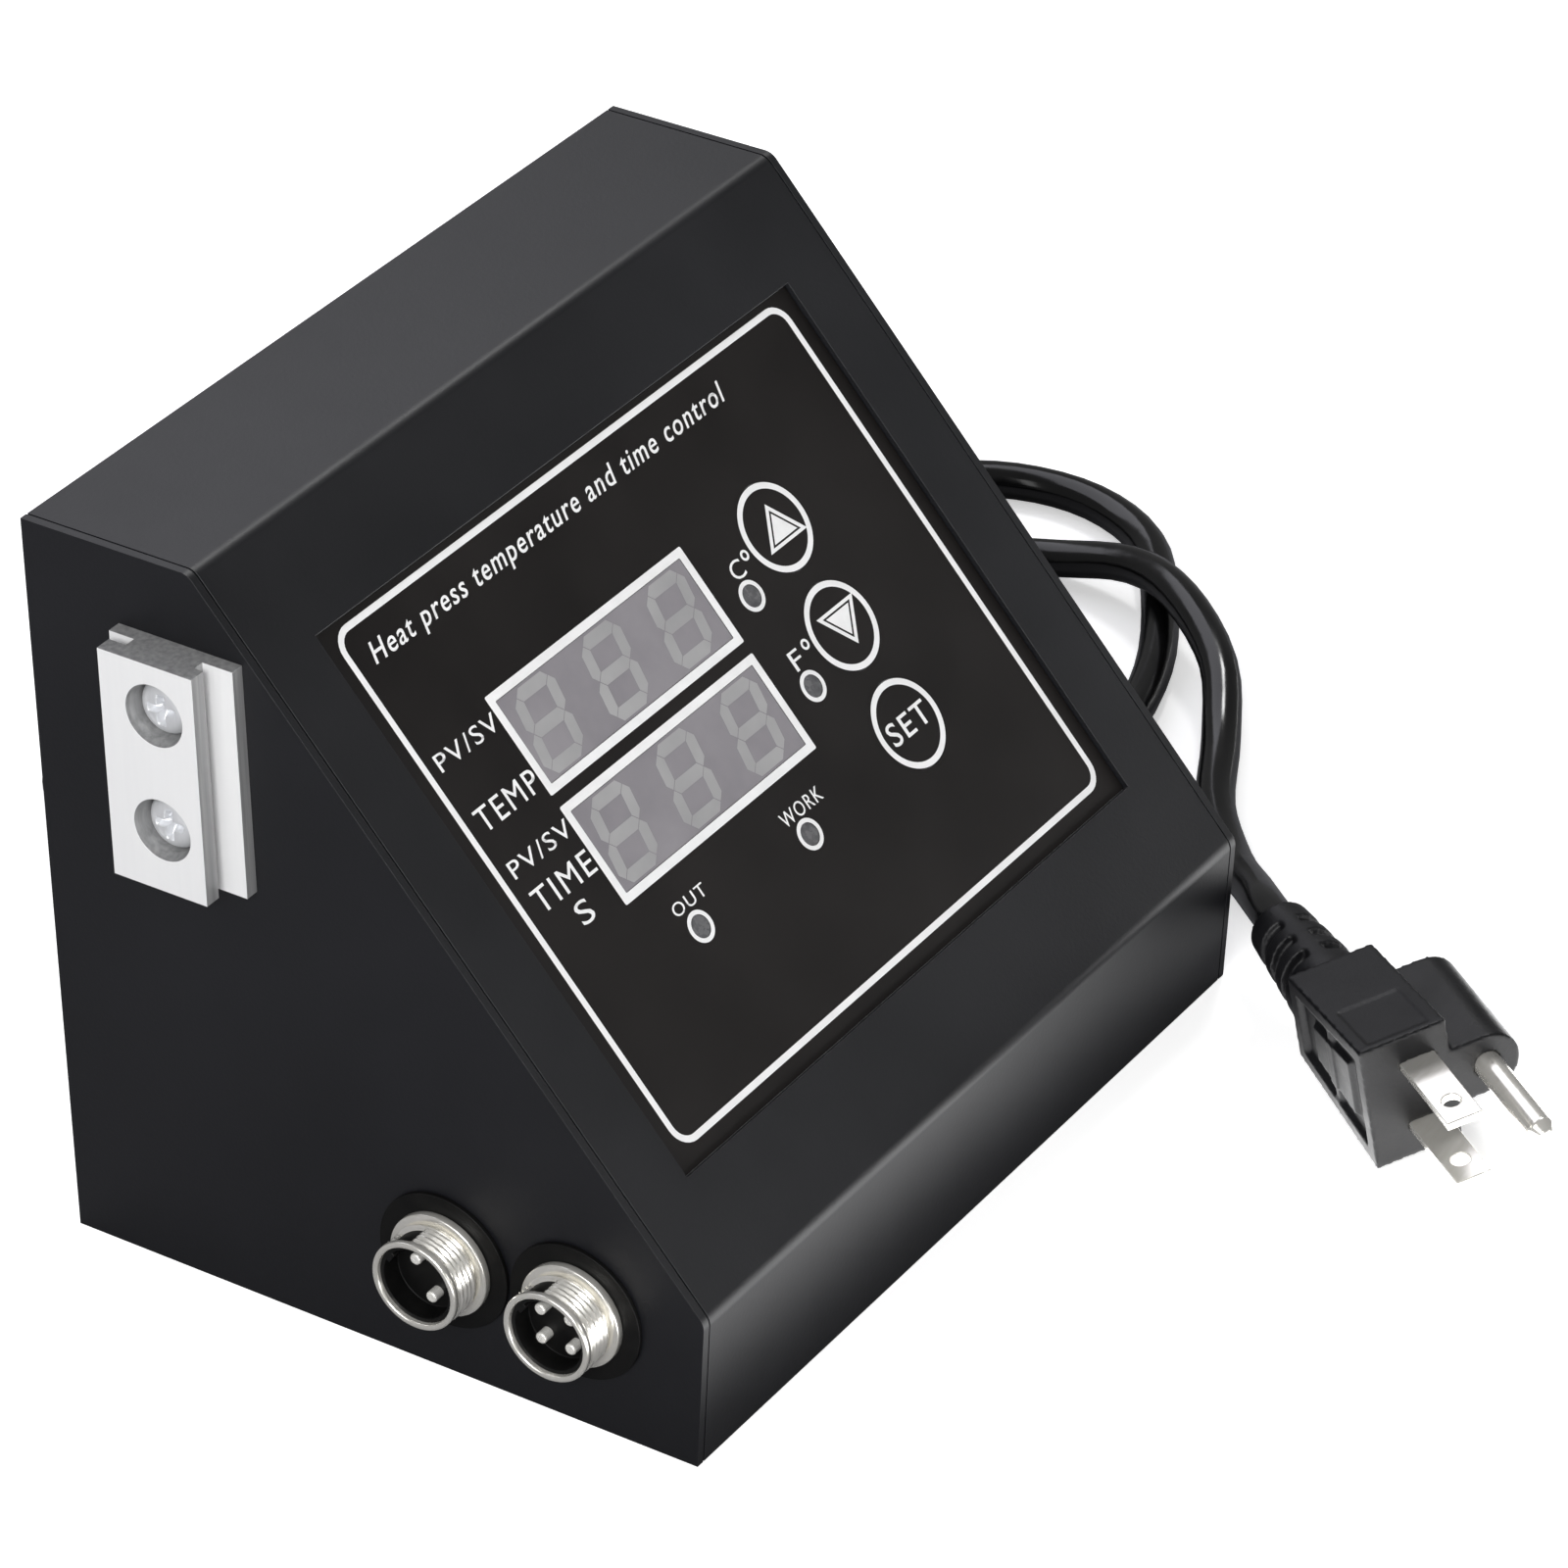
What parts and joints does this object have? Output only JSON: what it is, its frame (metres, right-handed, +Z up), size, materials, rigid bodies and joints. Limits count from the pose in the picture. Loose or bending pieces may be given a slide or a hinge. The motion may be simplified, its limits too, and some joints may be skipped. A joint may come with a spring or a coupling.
{
  "type": "heat press control box",
  "caption": "Desk control box for a mug heat press: folded steel case with a sloping key and display panel, two round sockets, a hanging rail and a mains lead with its plug.",
  "frame": {"origin": "centre of the case's underside, on the surface that it stands on", "axes": "+X to the operator's right, -Y the way the lip faces, +Z up"},
  "size_m": [0.2913, 0.2962, 0.133],
  "materials": {
    "powder_black": "satin black powder coat with a fine texture",
    "zinc_steel": "zinc plated, satin",
    "overlay_black": "matt printed polycarbonate film",
    "switch_plastic": "moulded, satin",
    "rocker_plastic": "moulded, glossy",
    "window_grey": "milky grey, smooth",
    "display_grey": "moulded, matt, pale",
    "lamp_grey": "diffused lens",
    "board_green": "solder mask, glossy",
    "brass": "turned",
    "ribbon_grey": "vinyl",
    "core_steel": "varnished laminations",
    "winding_tape": "yellow tape",
    "relay_blue": "moulded",
    "capacitor_sleeve": "shrink sleeve",
    "terminal_green": "moulded",
    "nickel": "nickel plated, bright",
    "insulator_black": "moulded phenolic",
    "contact_gold": "plated contacts",
    "rail_aluminium": "extruded, bright anodised",
    "fuse_glass": "clear tube with plated caps",
    "cord_black": "satin black vinyl"
  },
  "bodies": {
    "box": {"chassis": "powder_black", "front_cover": "powder_black", "back_panel": "powder_black", "base_screws": "zinc_steel", "back_screws": "zinc_steel", "panel_plate": "zinc_steel", "panel_nuts": "zinc_steel", "panel_overlay": "overlay_black", "key_switches": "switch_plastic", "temp_window": "window_grey", "time_window": "window_grey", "temp_display": "display_grey", "time_display": "display_grey", "indicator_lamps": "lamp_grey", "display_board": "board_green", "board_spacers": "brass", "board_screws": "zinc_steel", "buzzer": "switch_plastic", "ribbon_cable": "ribbon_grey", "power_board": "board_green", "power_board_spacers": "brass", "power_board_screws": "zinc_steel", "transformer_core": "core_steel", "transformer_winding": "winding_tape", "heater_relay": "relay_blue", "filter_capacitor": "capacitor_sleeve", "terminal_block": "terminal_green", "terminal_screws": "zinc_steel", "heater_socket_shell": "nickel", "heater_socket_insert": "insulator_black", "heater_socket_pins": "contact_gold", "sensor_socket_shell": "nickel", "sensor_socket_insert": "insulator_black", "sensor_socket_pins": "contact_gold", "socket_washers": "insulator_black", "socket_nuts": "nickel", "hanging_rail": "rail_aluminium", "rail_screws": "zinc_steel", "rail_nuts": "zinc_steel", "power_switch_frame": "switch_plastic", "fuse_holder": "switch_plastic", "cord_gland": "cord_black", "cord_lead": "cord_black", "cord_coil": "cord_black", "coil_tie": "cord_black", "cord_tail": "cord_black", "plug_body": "cord_black", "plug_blades": "nickel", "plug_ground_pin": "nickel"},
    "up_key": {"up_key": "overlay_black", "up_switch_stem": "switch_plastic"},
    "down_key": {"down_key": "overlay_black", "down_switch_stem": "switch_plastic"},
    "set_key": {"set_key": "overlay_black", "set_switch_stem": "switch_plastic"},
    "rocker": {"power_rocker": "rocker_plastic"},
    "fuse_link": {"fuse": "fuse_glass"},
    "fuse_cap": {"fuse_cap": "switch_plastic"}
  },
  "joints": [
    {"name": "up_key_press", "type": "slide", "parent": "box", "child": "up_key", "axis": [0, 0.7557, -0.6549], "range_m": [0, 0.0004], "stiffness_N_per_m": 2000},
    {"name": "down_key_press", "type": "slide", "parent": "box", "child": "down_key", "axis": [0, 0.7557, -0.6549], "range_m": [0, 0.0004], "stiffness_N_per_m": 2000},
    {"name": "set_key_press", "type": "slide", "parent": "box", "child": "set_key", "axis": [0, 0.7557, -0.6549], "range_m": [0, 0.0004], "stiffness_N_per_m": 2000},
    {"name": "power_switch_rock", "type": "hinge", "parent": "box", "child": "rocker", "pos_m": [0.046, 0.0615, 0.048], "axis": [1, 0, 0], "range_deg": [0, 22]},
    {"name": "fuse_slide", "type": "slide", "parent": "box", "child": "fuse_link", "axis": [0, 1, 0], "range_m": [0, 0.03]},
    {"name": "fuse_cap_turn", "type": "hinge", "parent": "fuse_link", "child": "fuse_cap", "pos_m": [-0.04, 0.0615, 0.022], "axis": [0, 1, 0], "range_deg": [0, 60]}
  ]
}
